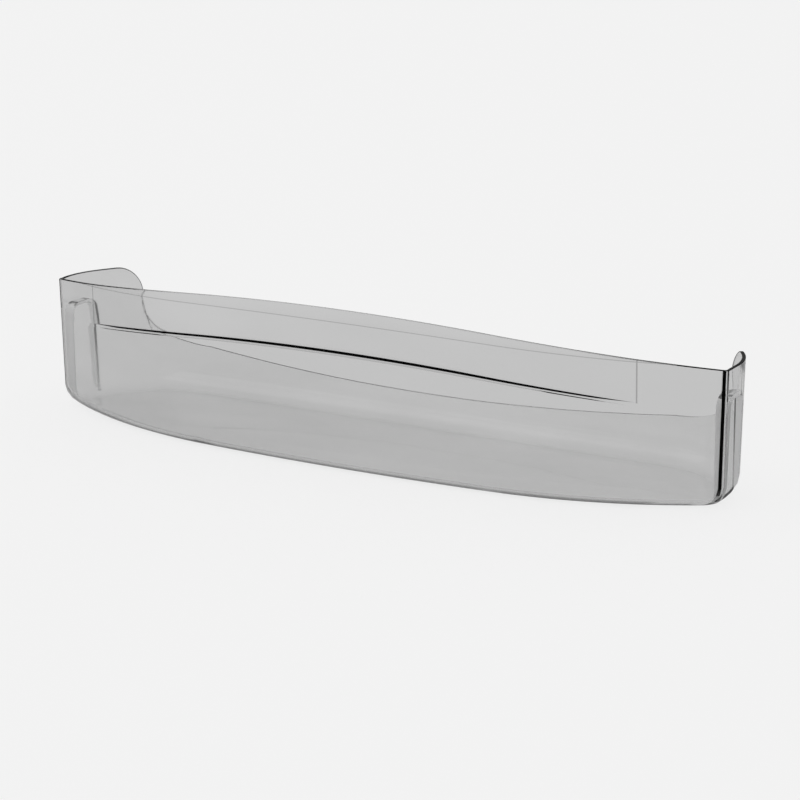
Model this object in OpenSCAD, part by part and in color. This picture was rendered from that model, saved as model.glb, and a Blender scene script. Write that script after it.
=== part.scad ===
// Door tray of a refrigerator, moulded in one piece of clear smoke-grey plastic.
//
// The tall front wall bows towards the user and its rim arches up at mid length.
// Short end walls run back into wide rear corners that stand up as ears, and the
// rear wall between them stays low, because the door's liner closes that side.
// A pocket in each end wall drops over a boss of the liner and carries the tray.
//
// X runs along the tray, -Y faces the user, and Z = 0 is the underside.

/* [Tray] */
// Length over the two end walls
tray_len = 460; // [380:1:520]
// Depth of the end walls, from the front corner to the back
tray_depth = 76; // [72:1:110]
// Height of the rim at the front corners
corner_height = 81.5; // [76:0.5:110]
// Thickness of the walls
wall = 2.2; // [1.8:0.1:3]
// Thickness of the floor
floor_thick = 2.4; // [1.8:0.1:4]
// Draft of every wall, so that the moulding leaves its tool
draft_angle = 1.3; // [0.5:0.1:2]
// Radius of the fillet between the walls and the floor
floor_fillet = 13; // [6:0.5:15]

/* [Front wall] */
// How far the front bows out before its corners
front_bow = 47.5; // [30:0.5:60]
// Radius of the middle part of the bow
front_radius = 1450; // [1000:10:2500]
// Half length of that middle part
front_flat = 100; // [60:1:130]
// Radius of the front corners at the rim
front_corner = 5; // [3.5:0.5:12]
// How much higher the rim is at mid length than at the corners
rim_arch = 17; // [0:1:30]

/* [Grip band] */
// Half length of the band that steps back under the rim
band_half = 184; // [140:1:200]
// Height of the band, from its ledge to the rim
band_height = 25; // [20:0.5:32]
// Depth of the ledge at mid length, which runs out at the band's ends
band_depth = 3; // [0.5:0.1:4]
// Height of the sloped facet that thins the rim at mid length
facet_height = 6.5; // [2:0.5:12]
// How much that facet takes off the wall at the rim
facet_depth = 0.9; // [0:0.1:0.9]

/* [Rear] */
// Radius of the rear corners
rear_corner = 66; // [40:1:68]
// Height of the rear rim at mid length
rear_mid_height = 20; // [18:0.5:30]
// How much the rear rim rises towards the corners
rear_rise = 9.5; // [0:0.5:14]
// Height of the ears' crown
ear_height = 82.5; // [60:0.5:100]
// Angle round the corner at which the ear's shoulder begins to fall
ear_shoulder = 38; // [30:1:42]
// Angle round the corner at which the ear's edge has met the rear rim
ear_foot = 76; // [66:1:84]

/* [Hanging pockets] */
// Width of a pocket
pocket_width = 20; // [14:1:30]
// Distance of the pocket's middle behind the front corner
pocket_back = 16.5; // [15:0.5:22]
// Height of the pocket's roof
pocket_height = 63; // [45:1:68]
// Depth of the pocket, from the end wall's outer face
pocket_depth = 6.5; // [4:0.5:9]
// Rounding of the pocket's upper corners
pocket_round = 5; // [2:0.5:8]

/* [Hidden] */

smoke = [0.62, 0.62, 0.64, 0.55];
half_len = tray_len / 2;

// Plan of the right half, as columns that stand on the outline.
// Angles start at the front's outward direction and turn towards the back.
bow_start = asin(front_flat / front_radius);
bow_sag = front_radius * (1 - cos(bow_start));
bow_dx = half_len - front_flat;
bow_dy = front_bow - bow_sag;
bow_rise = bow_dy * cos(bow_start) - bow_dx * sin(bow_start);
shoulder_radius = (pow(bow_dx, 2) + pow(bow_dy, 2)) / (2 * bow_rise);
front_centre = [0, front_radius - front_bow];
shoulder_centre = front_centre
    + (front_radius - shoulder_radius) * [sin(bow_start), -cos(bow_start)];
rear_centre = [half_len - rear_corner, tray_depth - rear_corner];

// Columns on each stretch of the half outline
front_steps = 8;
shoulder_steps = 16;
corner_steps = 7;
end_steps = 2;
ear_steps = 26;
rear_steps = 9;
steps = [front_steps, shoulder_steps, corner_steps, end_steps, ear_steps, rear_steps];
function before(part, i = 0, sum = 0) = i == part ? sum : before(part, i + 1, sum + steps[i]);
half_count = before(len(steps));

// Point at an angle round a centre
function round_point(centre, radius, angle) = centre + radius * [sin(angle), -cos(angle)];
function mix(a, b, t) = a + (b - a) * t;
function clamp01(t) = max(0, min(1, t));
function ease(t) = let (c = clamp01(t)) c * c * (3 - 2 * c);

// Centre of the front corner's rounding in the outline drawn in by an inset
function corner_centre(inset, radius) =
    let (x = half_len - inset - radius,
         reach = shoulder_radius - inset - radius,
         dx = x - shoulder_centre[0])
    [x, shoulder_centre[1] - sqrt(reach * reach - dx * dx)];
function corner_angle(inset, radius) =
    asin((corner_centre(inset, radius)[0] - shoulder_centre[0]) / (shoulder_radius - inset - radius));

// Column k of the half outline, drawn in by an inset
function half_point(k, inset, radius) =
    k <= before(1) ?
        round_point(front_centre, front_radius - inset, bow_start * k / front_steps)
    : k <= before(2) ?
        round_point(shoulder_centre, shoulder_radius - inset,
            mix(bow_start, corner_angle(inset, radius), (k - before(1)) / shoulder_steps))
    : k <= before(3) ?
        round_point(corner_centre(inset, radius), radius,
            mix(corner_angle(inset, radius), 90, (k - before(2)) / corner_steps))
    : k <= before(4) ?
        mix([half_len - inset, corner_centre(inset, radius)[1]],
            [half_len - inset, rear_centre[1]], (k - before(3)) / end_steps)
    : k <= before(5) ?
        round_point(rear_centre, rear_corner - inset, 90 + ear_angle(k))
    :   [mix(rear_centre[0], 0, (k - before(5)) / rear_steps), tray_depth - inset];

// Angle round the rear corner, with the columns closer together on the ear's edge
function ear_angle(k) =
    let (t = (k - before(4)) / ear_steps)
    t < 0.25 ? mix(0, ear_shoulder, t / 0.25)
    : t < 0.85 ? mix(ear_shoulder, ear_foot, (t - 0.25) / 0.6)
    : mix(ear_foot, 90, (t - 0.85) / 0.15);

// Rim height over column k: arched along the front, level on the end walls,
// falling off the ear's shoulder and dipping along the rear wall.
function rim_height(k) =
    let (p = half_point(k, 0, front_corner))
    k <= before(3) ? corner_height + rim_arch * (1 - pow(p[0] / half_len, 2))
    : k <= before(4) ? mix(corner_height, ear_height, ease(p[1] / rear_centre[1]))
    : k <= before(5) ?
        mix(ear_height, rear_mid_height + rear_rise,
            ear_fall((ear_angle(k) - ear_shoulder) / (ear_foot - ear_shoulder)))
    : rear_mid_height + rear_rise * pow(p[0] / rear_centre[0], 2);
function ear_fall(t) = 0.75 * ease((t - 0.12) / 0.28) + 0.25 * ease(t);

// The grip band swells from nothing at its ends to full depth at mid length
function band_swell(k) =
    k > before(3) ? 0
    : let (x = half_point(k, 0, front_corner)[0]) max(0, 1 - pow(x / band_half, 2));
function band_drop(k) = min(band_height, 0.4 * (rim_height(k) - floor_fillet));

// Inset that the draft gives at a height
function draft(z) = (corner_height - z) * tan(draft_angle);
rim_round = 0.4;
ledge_slope = 0.4;
floor_corner = 9;
fillet_radius = min(floor_fillet, rear_mid_height - floor_thick - 4.5);
fillet_turns = [90, 75, 58, 40, 20, 0];

// Section of a wall at column k, from the bottom up, as [height, inset, corner radius].
// skin is 0 on the outer face and the wall's thickness on the inner one.
function wall_section(k, skin) =
    let (rim = rim_height(k),
         step = band_depth * band_swell(k),
         facet = skin > 0 ? 0 : facet_depth * band_swell(k),
         ledge = rim - band_drop(k) - skin,
         crease = rim - 2 * rim_round - facet_height * band_swell(k),
         base = skin > 0 ? floor_thick : 0,
         fillet = fillet_radius - skin,
         corner = front_corner - skin / 2)
    concat(
        fillet_section(base, fillet, skin, corner),
        [for (h = [mix(base + fillet, ledge, 0.5), ledge]) [h, draft(h) + skin, corner]],
        [for (h = [ledge + ledge_slope, crease]) [h, draft(h) + skin + step, corner]],
        [[rim - rim_round, draft(rim) + skin + step + facet, corner],
         [rim, draft(rim) + skin + step + (skin > 0 ? -rim_round : facet + rim_round), corner]]);
function fillet_section(base, fillet, skin, corner) =
    [for (a = fillet_turns) let (h = base + fillet * (1 - sin(a)))
        [h, draft(h) + skin + fillet * (1 - cos(a)), mix(corner, floor_corner, a / 90)]];

// A column's point at one level of its section, on the right half or mirrored
function level_point(k, level, side) =
    let (p = half_point(k, level[1], level[2])) [side * p[0], p[1], level[0]];
// Sections of all columns, right half first, then the left half back to the front
function all_round(sections) = concat(
    [for (k = [0 : half_count]) [for (level = sections[k]) level_point(k, level, 1)]],
    [for (k = [half_count - 1 : -1 : 1]) [for (level = sections[k]) level_point(k, level, -1)]]);

// Closed solid through columns of points, with a flat face at each end of them
module loft(columns) {
    n = len(columns);
    m = len(columns[0]);
    sides = [for (c = [0 : n - 1], j = [0 : m - 2])
        let (a = c * m + j, b = ((c + 1) % n) * m + j)
        each [[a, a + 1, b + 1], [a, b + 1, b]]];
    bottom = [for (c = [0 : n - 1]) c * m];
    top = [for (c = [n - 1 : -1 : 0]) c * m + m - 1];
    polyhedron(points = [for (column = columns) each column],
               faces = concat([bottom, top], sides), convexity = 10);
}

function reversed(list) = [for (i = [len(list) - 1 : -1 : 0]) list[i]];

// The moulding without its pockets
module shell() {
    loft(all_round([for (k = [0 : half_count])
        concat(wall_section(k, 0), reversed(wall_section(k, wall)))]));
}

// What lies inside the middle of the walls, up to a little above the pockets.
// The pockets' linings end there, so that they grow out of the walls.
module core() {
    half_wall = wall / 2;
    top = pocket_height + 2 * wall;
    loft(all_round([for (k = [0 : half_count])
        concat(fillet_section(floor_thick / 2, fillet_radius - half_wall, half_wall, front_corner),
               [[top, draft(top) + half_wall, front_corner]])]));
}

// Inverted U across a pocket, grown outwards by a margin
module pocket_profile(grow) {
    w = pocket_width + 2 * grow;
    h = pocket_height + grow;
    r = pocket_round + grow;
    translate([-w / 2, -fillet_radius]) square([w, h + fillet_radius - r]);
    translate([-w / 2 + r, -fillet_radius]) square([w - 2 * r, h + fillet_radius]);
    for (side = [-1, 1])
        translate([side * (w / 2 - r), h - r]) circle(r, $fn = 32);
}

// Block with that profile, from a depth behind the end wall's face out past it
module pocket_block(depth, grow) {
    translate([half_len - depth, pocket_back, 0])
        rotate([90, 0, 90])
            linear_extrude(depth + wall) pocket_profile(grow);
}

module door_tray() {
    color(smoke) difference() {
        union() {
            shell();
            intersection() {
                core();
                for (side = [0, 1]) mirror([side, 0, 0]) pocket_block(pocket_depth + wall, wall);
            }
        }
        for (side = [0, 1]) mirror([side, 0, 0]) pocket_block(pocket_depth, 0);
    }
}

door_tray();
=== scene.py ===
# %% [markdown]
# A refrigerator's door tray, moulded in one piece of clear, faintly smoky plastic.
# The imported model gives its true form and size. This script gives it its finish:
# polished walls that bend what is seen through them, painted black shade on the edges
# that trap the light and go black, and a pale, even studio round it.

# %% The frame
import math
from bisect import bisect_right

import bmesh
import bpy
from mathutils import Matrix, Vector


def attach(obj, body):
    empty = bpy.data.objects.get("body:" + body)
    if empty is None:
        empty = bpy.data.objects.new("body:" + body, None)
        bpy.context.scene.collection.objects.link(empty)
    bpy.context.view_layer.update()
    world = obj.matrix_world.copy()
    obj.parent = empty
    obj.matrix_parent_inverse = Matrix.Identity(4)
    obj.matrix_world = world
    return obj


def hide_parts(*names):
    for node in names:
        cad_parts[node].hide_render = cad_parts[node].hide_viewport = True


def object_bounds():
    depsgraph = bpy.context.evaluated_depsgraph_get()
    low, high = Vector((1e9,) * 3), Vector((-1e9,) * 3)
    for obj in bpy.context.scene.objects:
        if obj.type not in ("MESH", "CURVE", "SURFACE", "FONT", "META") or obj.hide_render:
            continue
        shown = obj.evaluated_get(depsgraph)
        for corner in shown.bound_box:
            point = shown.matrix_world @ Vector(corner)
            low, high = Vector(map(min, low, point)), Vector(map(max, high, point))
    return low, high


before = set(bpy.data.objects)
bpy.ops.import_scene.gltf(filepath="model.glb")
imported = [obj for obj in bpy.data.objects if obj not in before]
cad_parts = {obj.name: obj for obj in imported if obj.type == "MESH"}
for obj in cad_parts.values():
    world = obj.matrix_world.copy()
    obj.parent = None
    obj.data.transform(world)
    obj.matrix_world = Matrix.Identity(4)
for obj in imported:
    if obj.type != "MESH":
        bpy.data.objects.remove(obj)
cad_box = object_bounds()
low, high = (Vector(corner) for corner in cad_box)
print("tray in mm:", [round(1000 * side, 1) for side in high - low])

# %% [markdown]
# The photograph was taken with a long lens from the front right, a little above
# the rim. A long lens keeps the two ends almost equal in size, so the focal length
# and the distance matter as much as the direction.

# %% Camera
VIEW_AZIMUTH = 30.8
VIEW_ELEVATION = 15.2
VIEW_ROLL = -0.2
VIEW_DISTANCE = 1.771
VIEW_TARGET = Vector((0.0194, 0.0, 0.0363))
FOCAL_LENGTH_MM = 135

turn = math.radians(VIEW_AZIMUTH)
tilt = math.radians(VIEW_ELEVATION)
towards_camera = Vector((math.sin(turn) * math.cos(tilt), -math.cos(turn) * math.cos(tilt), math.sin(tilt)))

camera_data = bpy.data.cameras.new("camera")
camera_data.sensor_width = 36
camera_data.lens = FOCAL_LENGTH_MM
camera = bpy.data.objects.new("camera", camera_data)
bpy.context.scene.collection.objects.link(camera)
camera.location = VIEW_TARGET + VIEW_DISTANCE * towards_camera
aim = towards_camera.to_track_quat("Z", "Y").to_matrix()
camera.rotation_euler = (aim @ Matrix.Rotation(math.radians(VIEW_ROLL), 3, "Z")).to_euler()
bpy.context.scene.camera = camera
print("camera", [round(value, 3) for value in camera.location])

# %% [markdown]
# The tray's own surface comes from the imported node. Its copy arrives as loose
# triangles, so its corners are merged first. After that, neighbours know each other
# and the shading can run smoothly round the curves, while real edges stay crisp.

# %% The tray's surface
MERGE_DISTANCE = 1e-6

tray = bpy.data.objects.new("smoke_tray", bpy.data.meshes.new("smoke_tray"))
bpy.context.scene.collection.objects.link(tray)
shape = bmesh.new()
shape.from_mesh(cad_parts["door_tray"].data)
bmesh.ops.remove_doubles(shape, verts=shape.verts, dist=MERGE_DISTANCE)
print("tray points:", len(shape.verts))

# %% [markdown]
# At each end of the floor, the solid's outline doubles back on itself by up to 3 mm.
# Low down, the round of the front corner ends behind the place where the round of the
# rear corner starts, and the faces between them are turned over. The cure is small:
# the rear round's start moves back to the front round's end, and the points that then
# lie on each other are merged.

# %% The ends of the floor
REAR_ROUND_FROM = 0.010
FOLD_BELOW = 0.003
SAME_PLACE = 2e-5
UNDERSIDE_BELOW = 0.0005
FLOOR_TOP = (0.0023, 0.0029)


def turned_over():
    """How many faces of the underside look up, and of the floor's top look down."""
    shape.normal_update()
    wrong = 0
    for face in shape.faces:
        heights = [vertex.co.z for vertex in face.verts]
        underside = max(heights) < UNDERSIDE_BELOW
        top = min(heights) > FLOOR_TOP[0] and max(heights) < FLOOR_TOP[1]
        wrong += (underside and face.normal.z > 0) or (top and face.normal.z < 0)
    return wrong


print("faces turned over:", turned_over())
rows = {}
for vertex in shape.verts:
    if vertex.co.z < FOLD_BELOW:
        rows.setdefault((round(vertex.co.z, 5), vertex.co.x > 0), []).append(vertex)
for row in rows.values():
    end = max(abs(vertex.co.x) for vertex in row)
    at_end = [vertex for vertex in row if abs(vertex.co.x) > end - SAME_PLACE]
    folded = [vertex for vertex in at_end if vertex.co.y > REAR_ROUND_FROM - SAME_PLACE]
    round_end = max((vertex.co.y for vertex in folded), default=REAR_ROUND_FROM)
    for vertex in folded:
        vertex.co.y = round_end
bmesh.ops.remove_doubles(shape, verts=shape.verts, dist=MERGE_DISTANCE)
print("faces turned over after the mend:", turned_over())

# %% [markdown]
# Each rear corner stands up as an ear. On the real tray its crown is rounded, its
# edge drops almost upright, and its foot flows out into the low rear rim. The solid
# has the same ear with a straighter edge. The wall there is built of columns of
# points, so the real outline needs two steps. First more columns are cut in, or a
# tight curve would show its corners. Then the columns are slid along the wall until
# their tops stand on the outline. The points never leave the wall's own surface.

# %% Columns of the rear corners
CORNER_CENTRE = Vector((0.164, 0.010))
CORNER_RADIUS = 0.066
FILLET_TOP = 0.0135
FIRST_COLUMN = 20
COLUMN_GAP = 1.0
EXTRA_COLUMNS = 2
SEAM = 1e-5


def spoke(point):
    """A point's angle round its rear corner, 0 at the end wall and 90 at the rear wall, and its radius."""
    reach = Vector((abs(point.x), point.y)) - CORNER_CENTRE
    return math.degrees(math.atan2(reach.y, reach.x)), reach.length


def in_corner(point):
    """True on the wall of a rear corner, above the floor's fillet and behind the pocket."""
    upright = point.z > FILLET_TOP and abs(point.x) > CORNER_CENTRE.x - SEAM
    return upright and spoke(point)[0] > FIRST_COLUMN


columns = []
for angle, height in sorted((spoke(v.co)[0], v.co.z) for v in shape.verts if in_corner(v.co)):
    if columns and angle - columns[-1][0] < COLUMN_GAP:
        columns[-1][1] = max(columns[-1][1], height)
    else:
        columns.append([angle, height])
column_angles = [angle for angle, height in columns]

between_columns = []
for edge in shape.edges:
    start, end = (vertex.co for vertex in edge.verts)
    if in_corner(start) and in_corner(end) and abs(spoke(start)[0] - spoke(end)[0]) > COLUMN_GAP:
        between_columns.append(edge)
bmesh.ops.subdivide_edges(shape, edges=between_columns, cuts=EXTRA_COLUMNS)
print("columns in a corner:", len(columns), "and then", 1 + (len(columns) - 1) * (1 + EXTRA_COLUMNS))

# %% [markdown]
# The outline is a path round the corner, as an angle and a height. Its crown and its
# foot are quarter ellipses with an upright drop between them, and the foot stands on
# a curve that sinks to the low rear rim.

# %% Outline of an ear
FRONT_RIM = 0.0815
CROWN = 0.0807
CROWN_END = 33.6
CROWN_ROUND = 0.018
DROP_AT = 48.6
FOOT_AT = 57.6
FOOT_ROUND = 0.0104
FOOT_RIM = 0.039
BACK_RIM = columns[-1][1]
EDGE_COLUMNS = (38, 70)
CROWN_SHARE = 0.52
FOOT_SHARE = 0.34


def mix(a, b, share):
    return a + (b - a) * share


def ease(t):
    t = max(0.0, min(1.0, t))
    return t * t * (3 - 2 * t)


def crown_rim(place):
    return mix(FRONT_RIM, CROWN, ease(place / CROWN_END))


def back_rim(place):
    return mix(BACK_RIM, FOOT_RIM, ((90 - place) / (90 - FOOT_AT)) ** 2)


def ear_outline(angle):
    """Where the top of a column goes: its new angle and height."""
    first, last = EDGE_COLUMNS
    if angle < first:
        place = mix(FIRST_COLUMN, CROWN_END, (angle - FIRST_COLUMN) / (first - FIRST_COLUMN))
        return place, crown_rim(place)
    if angle > last:
        place = mix(FOOT_AT, 90, (angle - last) / (90 - last))
        return place, back_rim(place)
    along = (angle - first) / (last - first)
    if along < CROWN_SHARE:
        turn = math.radians(90 * along / CROWN_SHARE)
        return mix(CROWN_END, DROP_AT, math.sin(turn)), CROWN - CROWN_ROUND * (1 - math.cos(turn))
    if along > 1 - FOOT_SHARE:
        turn = math.radians(90 * (1 - along) / FOOT_SHARE)
        place = mix(FOOT_AT, DROP_AT, math.sin(turn))
        return place, back_rim(place) + FOOT_ROUND * (1 - math.cos(turn))
    drop = (along - CROWN_SHARE) / (1 - CROWN_SHARE - FOOT_SHARE)
    return DROP_AT, mix(CROWN - CROWN_ROUND, back_rim(DROP_AT) + FOOT_ROUND, drop)


# %% The ears
SOLID_CROWN = 0.0825
WALL_LEAN = math.tan(math.radians(1.3))
POCKET_ROOF = 0.068
RIM_DEPTH = 0.0008
NUDGE = 0.05


def raised(point):
    """A point of an end wall, raised or lowered with its rim."""
    solid_rim = mix(FRONT_RIM, SOLID_CROWN, ease(point.y / CORNER_CENTRE.y))
    new_rim = crown_rim(spoke(point)[0]) if point.y > CORNER_CENTRE.y else FRONT_RIM
    share = max(0, (point.z - POCKET_ROOF) / (solid_rim - POCKET_ROOF))
    return point + Vector((0, 0, share * (new_rim - solid_rim)))


def slid(point):
    """A point of a rear corner, slid along the wall, and its depth under the solid's rim."""
    angle, radius = spoke(point)
    after = min(max(bisect_right(column_angles, angle), 1), len(columns) - 1)
    (start, start_rim), (end, end_rim) = columns[after - 1:after + 1]
    solid_rim = mix(start_rim, end_rim, (angle - start) / (end - start))
    # A point that was cut in lies on a flat facet, and goes out to the round wall
    off_middle, half_facet = math.radians(angle - (start + end) / 2), math.radians((end - start) / 2)
    radius *= math.cos(off_middle) / math.cos(half_facet)

    place, height = ear_outline(angle)
    ahead, behind = ear_outline(angle + NUDGE), ear_outline(angle - NUDGE)
    along = Vector((math.radians(ahead[0] - behind[0]) * CORNER_RADIUS, ahead[1] - behind[1])).normalized()
    depth = solid_rim - point.z
    inset = min(depth, RIM_DEPTH)
    place += math.degrees(inset * along.y / CORNER_RADIUS)
    height -= inset * along.x
    share = min(1, (point.z - FILLET_TOP) / (solid_rim - RIM_DEPTH - FILLET_TOP))
    rise = share * (height - (solid_rim - inset))
    turn = math.radians(mix(angle, place, share))
    radius += rise * WALL_LEAN
    plan = CORNER_CENTRE + radius * Vector((math.cos(turn), math.sin(turn)))
    return Vector((math.copysign(plan.x, point.x), plan.y, point.z + rise)), depth


rim_depth = {}
for vertex in shape.verts:
    if in_corner(vertex.co):
        vertex.co, rim_depth[vertex] = slid(vertex.co)
    elif abs(vertex.co.x) > CORNER_CENTRE.x and vertex.co.y > 0 and vertex.co.z > POCKET_ROOF:
        vertex.co = raised(vertex.co)
shape.normal_update()
print("points slid in the corners:", len(rim_depth))

# %% [markdown]
# Light that enters a clear wall at an edge often can't get out again: it runs on
# inside the wall, and the edge looks black. It happens at the front corners, where
# the wall's own thickness faces the side, and round the ends of the rim. A render
# can't follow such light for as long as it really runs, so the faces where it is
# trapped are marked, and the plastic is painted black there: a painted shade.

# %% Where edges are painted dark
TRAP_SHADE_MARK = "painted_trap_shade"
TRAP_FROM, TRAP_TO = math.radians(34), math.radians(58)
CORNER_NEAR = 0.205
CORNER_BEHIND = 0.012
LEAST_SIDEWAYS = 0.2
CORNER_FOOT, CORNER_FULL = 0.002, 0.012
RIM_SHADE = 0.8
RIM_FACES_DEPTH = 0.00045
RIM_FROM, RIM_TO = 0.14, 0.225
LOW_RIM, HIGH_RIM = 0.030, 0.050
LEAST_UPWARDS = 0.4


# Painted black shade at the front corners, where the wall's thickness traps the light
def corner_shade_mark(face, middle):
    outward = face.normal.x * math.copysign(1, middle.x)
    facing = math.atan2(outward, -face.normal.y)
    near = abs(middle.x) > CORNER_NEAR and middle.y < CORNER_BEHIND
    upright = math.hypot(outward, face.normal.y) > LEAST_SIDEWAYS
    trapped = near and upright and TRAP_FROM < facing < TRAP_TO
    return trapped * ease((middle.z - CORNER_FOOT) / (CORNER_FULL - CORNER_FOOT))


# Painted shade round the ends of the rim, stronger towards the outer ends and higher up
def rim_shade_mark(face, middle):
    depths = [rim_depth.get(vertex) for vertex in face.verts]
    if None in depths:
        on_rim = face.normal.z > LEAST_UPWARDS and middle.z > FRONT_RIM - 2 * RIM_DEPTH
    else:
        on_rim = max(depths) < RIM_FACES_DEPTH
    outwards = ease((abs(middle.x) - RIM_FROM) / (RIM_TO - RIM_FROM))
    upwards = ease((middle.z - LOW_RIM) / (HIGH_RIM - LOW_RIM))
    return RIM_SHADE * on_rim * outwards * upwards


# The painted shade of an edge face: the darker of the two marks
def trap_shade_mark(face, middle):
    return max(corner_shade_mark(face, middle), rim_shade_mark(face, middle))


# %% [markdown]
# The mould isn't polished everywhere. The small blocks that form the sides of the
# hanging pockets are left matt, because nobody looks at those faces. The last mark
# tells the outer face of the front wall from its inner one.

# %% Where the polish ends
MATT_MARK = "matt_mould"
POCKET_FROM = 0.2205
POCKET_SIDES = (0.004, 0.030)
LEAST_ACROSS = 0.7
FRONT_MARK = "front_face"
FRONT_BEFORE = -0.010
LEAST_FORWARDS = 0.05


def matt_mark(face, middle):
    at_pocket = abs(middle.x) > POCKET_FROM and POCKET_SIDES[0] < middle.y < POCKET_SIDES[1]
    return float(at_pocket and middle.z < POCKET_ROOF and abs(face.normal.y) > LEAST_ACROSS)


def front_mark(face, middle):
    return float(middle.y < FRONT_BEFORE and face.normal.y < -LEAST_FORWARDS)


marks = {TRAP_SHADE_MARK: trap_shade_mark, MATT_MARK: matt_mark, FRONT_MARK: front_mark}
for name in marks:
    shape.faces.layers.float.new(name)
for name, value_of in marks.items():
    layer = shape.faces.layers.float[name]
    for face in shape.faces:
        face[layer] = value_of(face, face.calc_center_median())
    print(name, "is on", sum(face[layer] > 0 for face in shape.faces), "faces")

# %% Shading
SHARP_EDGE_ANGLE = math.radians(28)

for face in shape.faces:
    face.smooth = True
for edge in shape.edges:
    edge.smooth = edge.is_manifold and edge.calc_face_angle() < SHARP_EDGE_ANGLE
shape.to_mesh(tray.data)
shape.free()

# Long flat walls keep straight normals, and the small facets of a fillet carry the turn
even_walls = tray.modifiers.new("even walls", "WEIGHTED_NORMAL")
even_walls.mode = "FACE_AREA"
even_walls.weight = 50
even_walls.keep_sharp = True
print("tray faces:", len(tray.data.polygons))

# %% [markdown]
# The plastic is built of shader nodes. A few helpers keep its recipe short: sums,
# noises, soft ranges, the marks of the faces and the blend of two shaders.

# %% Helpers for nodes


def calc(tree, operation, *values):
    """A Math node's result, from sockets or plain numbers."""
    node = tree.nodes.new("ShaderNodeMath")
    node.operation = operation
    for socket, value in zip(node.inputs, values):
        if isinstance(value, bpy.types.NodeSocket):
            tree.links.new(value, socket)
        else:
            socket.default_value = value
    return node.outputs["Value"]


def noise(tree, place, scale, detail):
    node = tree.nodes.new("ShaderNodeTexNoise")
    node.inputs["Scale"].default_value = scale
    node.inputs["Detail"].default_value = detail
    tree.links.new(place, node.inputs["Vector"])
    return node.outputs["Fac"]


def soft_range(tree, value, start, end):
    """A value's place in one range, carried over softly to another."""
    node = tree.nodes.new("ShaderNodeMapRange")
    node.interpolation_type = "SMOOTHSTEP"
    node.inputs["From Min"].default_value, node.inputs["From Max"].default_value = start
    node.inputs["To Min"].default_value, node.inputs["To Max"].default_value = end
    tree.links.new(value, node.inputs["Value"])
    return node.outputs["Result"]


def between(tree, value, least, most):
    """1 where a value lies between two others, and 0 elsewhere."""
    return calc(tree, "MULTIPLY", calc(tree, "GREATER_THAN", value, least), calc(tree, "LESS_THAN", value, most))


def read_mark(tree, name):
    node = tree.nodes.new("ShaderNodeAttribute")
    node.attribute_name = name
    return node.outputs["Fac"]


def blend(tree, share, first, second):
    """Two shaders, with a share of the second one."""
    node = tree.nodes.new("ShaderNodeMixShader")
    for socket, source in zip(node.inputs, (share, first, second)):
        tree.links.new(source, socket)
    return node.outputs["Shader"]


def flat_shader(tree, kind, color):
    node = tree.nodes.new(kind)
    node.inputs["Color"].default_value = color
    return node.outputs["BSDF"]


# %% [markdown]
# Some lines of painted shade follow no edge of a face, so they are worked out from
# the place instead. The ledge under the grip band is the boldest one, painted black:
# what enters it from above is trapped in the wall below. The painted shade at the
# band's ends and at the facet that thins its rim is faint, the front is painted dark
# where it turns under the floor, and a painted dark upright shows where the rear side
# of a pocket stands behind its lining.

# %% Lines of painted shade by place
RIM_ARCH = 0.017
BAND_HEIGHT = 0.025
BAND_HALF = 0.188
LINE_FULL_HALF = 0.160
LINE_ABOVE = 0.0004
LINE_HEIGHT = 0.0008
BAND_END = (0.1854, 0.1862)
BAND_END_SHADE = 0.35
FACET_TOP = 0.0008
FACET_HEIGHT = 0.0065
FACET_LINE = 0.0006
FACET_SHADE = 0.25
UNDER_FROM = 0.0003
UNDER_FADE = (0.0008, 0.0020)
UNDER_SHADE = 0.5
UPRIGHT_X = (0.2205, 0.2222)
UPRIGHT_Y = (0.0262, 0.0290)
UPRIGHT_FADE = (0.012, 0.055)
UPRIGHT_SHADES = (0.35, 0.85)


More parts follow.
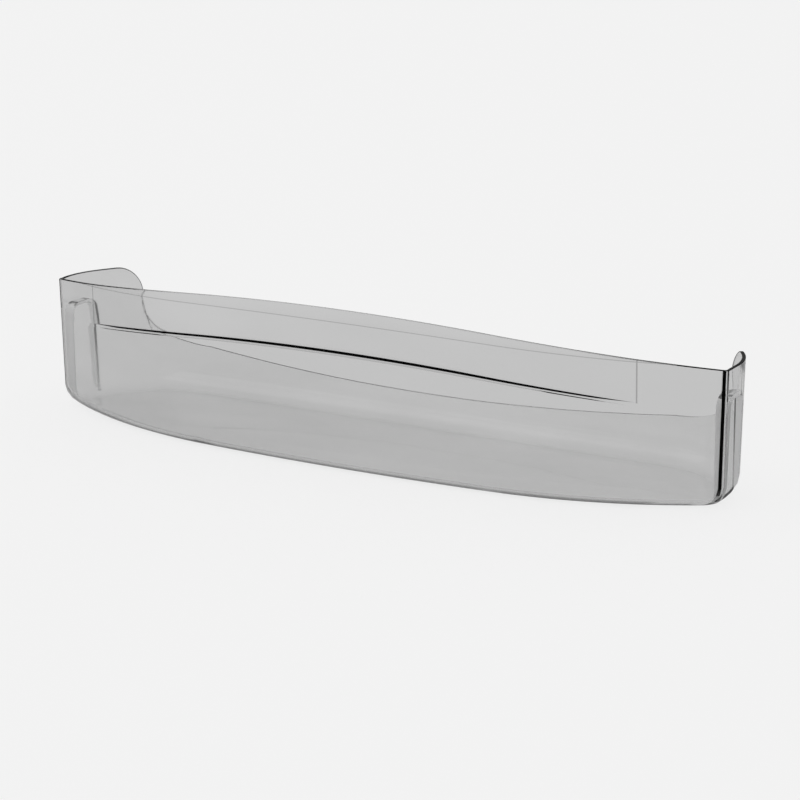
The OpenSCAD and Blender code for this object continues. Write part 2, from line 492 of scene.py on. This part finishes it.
def painted_shade_lines(tree, place):
    """How much painted shade the plastic gets at a place, from 0 to 1."""
    split = tree.nodes.new("ShaderNodeSeparateXYZ")
    tree.links.new(place, split.inputs["Vector"])
    back, height = split.outputs["Y"], split.outputs["Z"]
    sideways = calc(tree, "ABSOLUTE", split.outputs["X"])
    square = calc(tree, "POWER", sideways, 2)
    rim = calc(tree, "MULTIPLY_ADD", square, -RIM_ARCH / high.x ** 2, high.z)
    depth = calc(tree, "SUBTRACT", rim, height)

    # Painted black ledge line, and fainter painted shade at the band's ends, the facet and the foot
    line_top = BAND_HEIGHT - LINE_ABOVE
    line_height = soft_range(tree, sideways, (LINE_FULL_HALF, BAND_HALF), (LINE_HEIGHT, 0))
    ledge = between(tree, depth, line_top, calc(tree, "ADD", line_height, line_top))
    on_band = calc(tree, "LESS_THAN", depth, BAND_HEIGHT)
    band_end = calc(tree, "MULTIPLY", between(tree, sideways, *BAND_END), on_band)
    crease = calc(tree, "MULTIPLY_ADD", square, -FACET_HEIGHT / BAND_HALF ** 2, FACET_TOP + FACET_HEIGHT)
    facet = between(tree, depth, crease, calc(tree, "ADD", crease, FACET_LINE))
    off_ground = calc(tree, "GREATER_THAN", height, UNDER_FROM)
    under = calc(tree, "MULTIPLY", soft_range(tree, height, UNDER_FADE, (1, 0)), off_ground)
    front = ledge
    for line, shade in ((band_end, BAND_END_SHADE), (facet, FACET_SHADE), (under, UNDER_SHADE)):
        front = calc(tree, "MAXIMUM", front, calc(tree, "MULTIPLY", line, shade))
    front = calc(tree, "MULTIPLY", front, read_mark(tree, FRONT_MARK))

    # A painted dark upright where a pocket's rear side stands behind its lining
    upright = calc(tree, "MULTIPLY", between(tree, sideways, *UPRIGHT_X), between(tree, back, *UPRIGHT_Y))
    fade = soft_range(tree, height, UPRIGHT_FADE, UPRIGHT_SHADES)
    in_pocket = calc(tree, "LESS_THAN", height, POCKET_ROOF)
    upright = calc(tree, "MULTIPLY", calc(tree, "MULTIPLY", upright, fade), in_pocket)
    return calc(tree, "MAXIMUM", front, upright)


# %% [markdown]
# Clear plastic needs three things: a polished surface that bends light, a body
# that takes a little of it on the way, and shadows that stay as light as the
# plastic is. The body's tint is a volume, so a long way inside a wall looks darker
# than a short one across it.
#
# The surface isn't perfect on the real part either. The melt flowed in from the
# floor and left ripples and tones too faint to see alone, and handling dulls the
# polish in soft patches. Three noises carry these.

# %% Smoke plastic
SMOKE_COLOR = (0.62, 0.62, 0.62, 1)
SMOKE_DENSITY = 80
PLASTIC_IOR = 1.49
# The black of the painted shade on edges and lines where light is trapped
PAINTED_SHADE_COLOR = (0.003, 0.003, 0.003, 1)
MATT_COLOR = (0.94, 0.94, 0.94, 1)
MATT_SHARE = 0.94
RIPPLE_SCALE = 26
RIPPLE_STRETCH = (0.45, 1, 1.3)
RIPPLE_HEIGHT = 0.0004
RIPPLE_STRENGTH = 0.3
TONE_SCALE = 17
TONES = (0.955, 1)
PATCH_SCALE = 14
PATCH_RANGE = (0.35, 0.7)
POLISH = (0.012, 0.05)
SHADOW_TINT = (0.94, 0.94, 0.94, 1)


def smoke_plastic():
    material = bpy.data.materials.new("smoke_plastic")
    material.use_nodes = True
    tree = material.node_tree
    nodes, links = tree.nodes, tree.links
    shader = nodes["Principled BSDF"]
    shader.inputs["IOR"].default_value = PLASTIC_IOR
    shader.inputs["Transmission Weight"].default_value = 1
    place = nodes.new("ShaderNodeTexCoord").outputs["Object"]

    stretch = nodes.new("ShaderNodeMapping")
    stretch.inputs["Scale"].default_value = RIPPLE_STRETCH
    links.new(place, stretch.inputs["Vector"])
    bump = nodes.new("ShaderNodeBump")
    bump.inputs["Strength"].default_value = RIPPLE_STRENGTH
    bump.inputs["Distance"].default_value = RIPPLE_HEIGHT
    links.new(noise(tree, stretch.outputs["Vector"], RIPPLE_SCALE, 1.5), bump.inputs["Height"])
    links.new(bump.outputs["Normal"], shader.inputs["Normal"])

    flow = noise(tree, stretch.outputs["Vector"], TONE_SCALE, 2)
    links.new(soft_range(tree, flow, PATCH_RANGE, TONES), shader.inputs["Base Color"])

    polish = noise(tree, place, PATCH_SCALE, 4)
    links.new(soft_range(tree, polish, PATCH_RANGE, POLISH), shader.inputs["Roughness"])

    absorb = nodes.new("ShaderNodeVolumeAbsorption")
    absorb.inputs["Color"].default_value = SMOKE_COLOR
    absorb.inputs["Density"].default_value = SMOKE_DENSITY
    links.new(absorb.outputs["Volume"], nodes["Material Output"].inputs["Volume"])

    # Matt faces scatter the light; where light is trapped none comes back to the eye, and this is painted: a
    # black shader blended in by the edge marks and the lines of painted shade
    matt = calc(tree, "MULTIPLY", read_mark(tree, MATT_MARK), MATT_SHARE)
    body = blend(tree, matt, shader.outputs["BSDF"], flat_shader(tree, "ShaderNodeBsdfDiffuse", MATT_COLOR))
    dark = calc(tree, "MAXIMUM", painted_shade_lines(tree, place), read_mark(tree, TRAP_SHADE_MARK))
    body = blend(tree, dark, body, flat_shader(tree, "ShaderNodeBsdfDiffuse", PAINTED_SHADE_COLOR))

    # Shadow rays pass through as if the wall only tinted them
    shadow_ray = nodes.new("ShaderNodeLightPath").outputs["Is Shadow Ray"]
    shown = blend(tree, shadow_ray, body, flat_shader(tree, "ShaderNodeBsdfTransparent", SHADOW_TINT))
    links.new(shown, nodes["Material Output"].inputs["Surface"])
    return material


tray.data.materials.clear()
tray.data.materials.append(smoke_plastic())
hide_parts("door_tray")
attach(tray, "root")

# %% [markdown]
# The photograph's ground is almost white round the tray, but a shade darker where
# it shows through the plastic, because only what is round the tray was lifted
# afterwards. The ground here does the same: it glows evenly like a light table, and
# glows a little more for what the camera sees of it directly. The room round it
# does so too, so that a low view doesn't end in a dark wall.

# %% Floor and room
FLOOR_GREY = (0.20, 0.20, 0.20, 1)
FLOOR_HALF = 6.0
FLOOR_GAP = 0.0002
FLOOR_GLOW = 0.47
FLOOR_GLOW_SEEN = 0.757
ROOM_GLOW = 0.55
ROOM_GLOW_SEEN = 0.86


def seen_directly(tree, indirect, direct):
    """The first value, or the second one where the camera itself looks."""
    camera_ray = tree.nodes.new("ShaderNodeLightPath").outputs["Is Camera Ray"]
    return calc(tree, "ADD", calc(tree, "MULTIPLY", camera_ray, direct - indirect), indirect)


sweep = bmesh.new()
bmesh.ops.create_grid(sweep, x_segments=1, y_segments=1, size=FLOOR_HALF)
floor_mesh = bpy.data.meshes.new("floor")
sweep.to_mesh(floor_mesh)
sweep.free()
floor = bpy.data.objects.new("floor", floor_mesh)
bpy.context.scene.collection.objects.link(floor)
floor.location.z = low.z - FLOOR_GAP
paper = bpy.data.materials.new("paper")
paper.use_nodes = True
paper_shader = paper.node_tree.nodes["Principled BSDF"]
paper_shader.inputs["Base Color"].default_value = FLOOR_GREY
paper_shader.inputs["Roughness"].default_value = 0.9
paper_shader.inputs["Specular IOR Level"].default_value = 0.1
paper_shader.inputs["Emission Color"].default_value = (1, 1, 1, 1)
paper.node_tree.links.new(seen_directly(paper.node_tree, FLOOR_GLOW, FLOOR_GLOW_SEEN),
                          paper_shader.inputs["Emission Strength"])
floor_mesh.materials.append(paper)

world = bpy.data.worlds.new("studio")
world.use_nodes = True
background = world.node_tree.nodes["Background"]
background.inputs["Color"].default_value = (1, 1, 1, 1)
world.node_tree.links.new(seen_directly(world.node_tree, ROOM_GLOW, ROOM_GLOW_SEEN),
                          background.inputs["Strength"])
bpy.context.scene.world = world

# %% [markdown]
# One softbox stands in front of the tray, high on the left. It is so large that it
# leaves no spot of glare on the clear walls, and it lights what is matt.

# %% Light
SOFTBOX_WATTS = 60
SOFTBOX_PLACE = (-2.0, -3.6, 3.2)
SOFTBOX_SIZE = (8.0, 5.0)

softbox_data = bpy.data.lights.new("softbox", "AREA")
softbox_data.shape = "RECTANGLE"
softbox_data.size, softbox_data.size_y = SOFTBOX_SIZE
softbox_data.energy = SOFTBOX_WATTS
softbox = bpy.data.objects.new("softbox", softbox_data)
softbox.location = SOFTBOX_PLACE
softbox.rotation_euler = Vector(SOFTBOX_PLACE).to_track_quat("Z", "Y").to_euler()
softbox.visible_camera = False
bpy.context.scene.collection.objects.link(softbox)
bpy.context.scene.view_settings.view_transform = "Standard"
